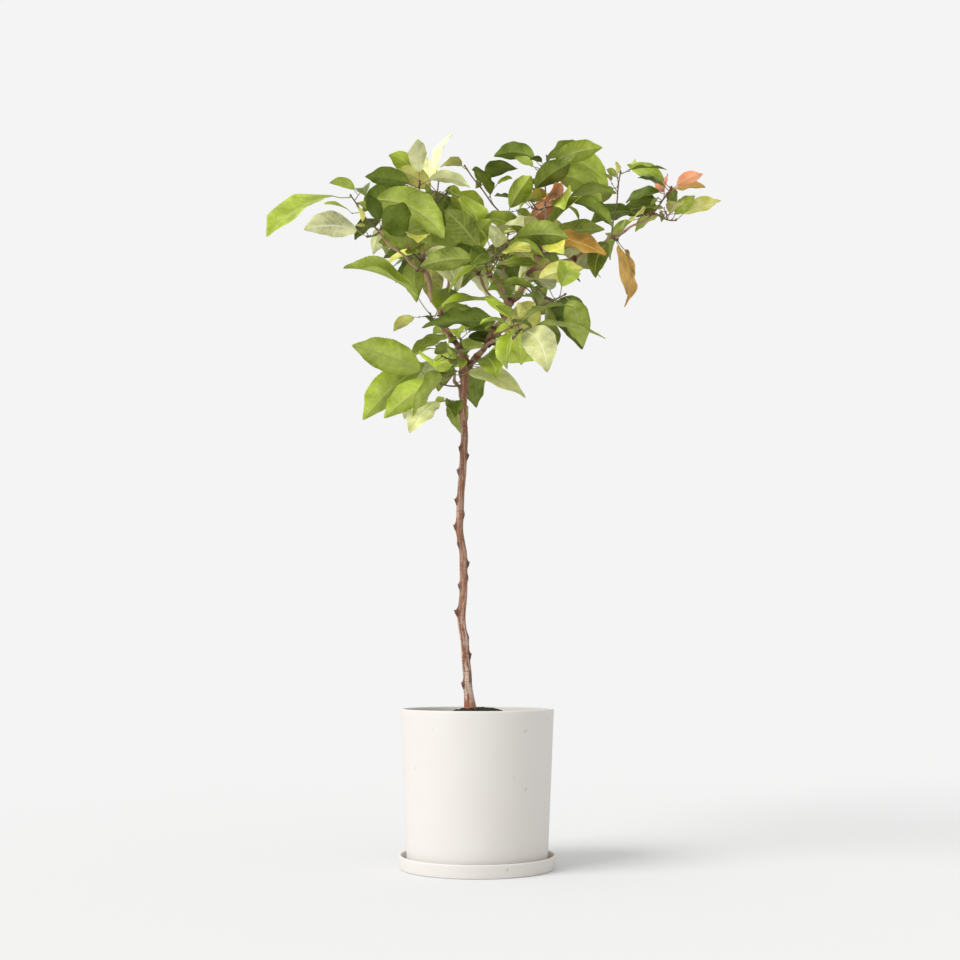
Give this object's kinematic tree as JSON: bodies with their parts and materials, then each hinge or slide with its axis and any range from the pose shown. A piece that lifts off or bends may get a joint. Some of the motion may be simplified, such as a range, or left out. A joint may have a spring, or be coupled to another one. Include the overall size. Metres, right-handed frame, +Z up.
{
  "type": "potted sweet cherry tree",
  "caption": "Young sweet cherry tree with a slim bare trunk, a wide V of boughs in full leaf, planted in a plain off-white stoneware pot that stands in a matching saucer.",
  "frame": {"origin": "centre of the saucer's flat underside, on the floor", "axes": "+Z up, from the floor to the crown; +X to the right and +Y to the back, seen from the front"},
  "size_m": [0.762, 0.5104, 1.2236],
  "materials": {
    "pot_stoneware": "matte speckled off-white",
    "saucer_stoneware": "matte off-white",
    "soil": "dark moist potting soil",
    "bark": "pinkish-brown bark with pale lenticels",
    "leaf": "mid-green leaf, satin above",
    "young_leaf": "pale lime young leaf",
    "russet_leaf": "ochre to russet leaf"
  },
  "bodies": {
    "root": {"saucer": "saucer_stoneware", "pot": "pot_stoneware", "soil": "soil", "trunk": "bark", "left_bough": "bark", "right_bough": "bark", "left_leader": "bark", "far_left_bough": "bark", "inner_bough": "bark", "centre_bough": "bark", "low_right_bough": "bark", "right_leader": "bark", "far_right_bough": "bark", "far_right_tip": "bark", "back_left_bough": "bark", "back_right_bough": "bark", "back_low_bough": "bark", "front_left_bough": "bark", "front_right_bough": "bark", "front_bough": "bark", "far_left_leaves": "young_leaf", "far_left_low_leaves": "leaf", "top_left_leaves": "young_leaf", "upper_left_leaves": "leaf", "middle_left_leaves": "leaf", "upper_inner_leaves": "leaf", "left_whorl_leaves": "leaf", "left_side_leaves": "leaf", "left_back_leaves": "leaf", "inner_leaves": "leaf", "centre_leaves": "russet_leaf", "centre_back_leaves": "leaf", "right_front_leaves": "leaf", "right_back_leaves": "leaf", "middle_twig_leaves": "leaf", "right_top_leaves": "leaf", "right_side_leaves": "russet_leaf", "right_rear_leaves": "leaf", "far_right_leaves": "russet_leaf", "far_right_end_leaves": "leaf", "far_right_back_leaves": "leaf", "far_right_twig_leaves": "leaf", "right_low_leaves": "leaf", "low_right_leaves": "leaf", "low_middle_leaves": "leaf", "front_right_leaves": "young_leaf", "front_left_leaves": "young_leaf", "low_left_leaves": "leaf", "front_middle_leaves": "leaf", "front_upper_leaves": "leaf", "lower_left_leaves": "leaf", "lower_right_leaves": "leaf", "lowest_leaves": "leaf", "lowest_back_leaves": "leaf", "fork_leaves": "young_leaf", "back_low_leaves": "leaf", "back_left_leaves": "leaf", "back_left_high_leaves": "leaf", "back_right_leaves": "leaf", "high_back_leaves": "leaf"}
  },
  "joints": []
}
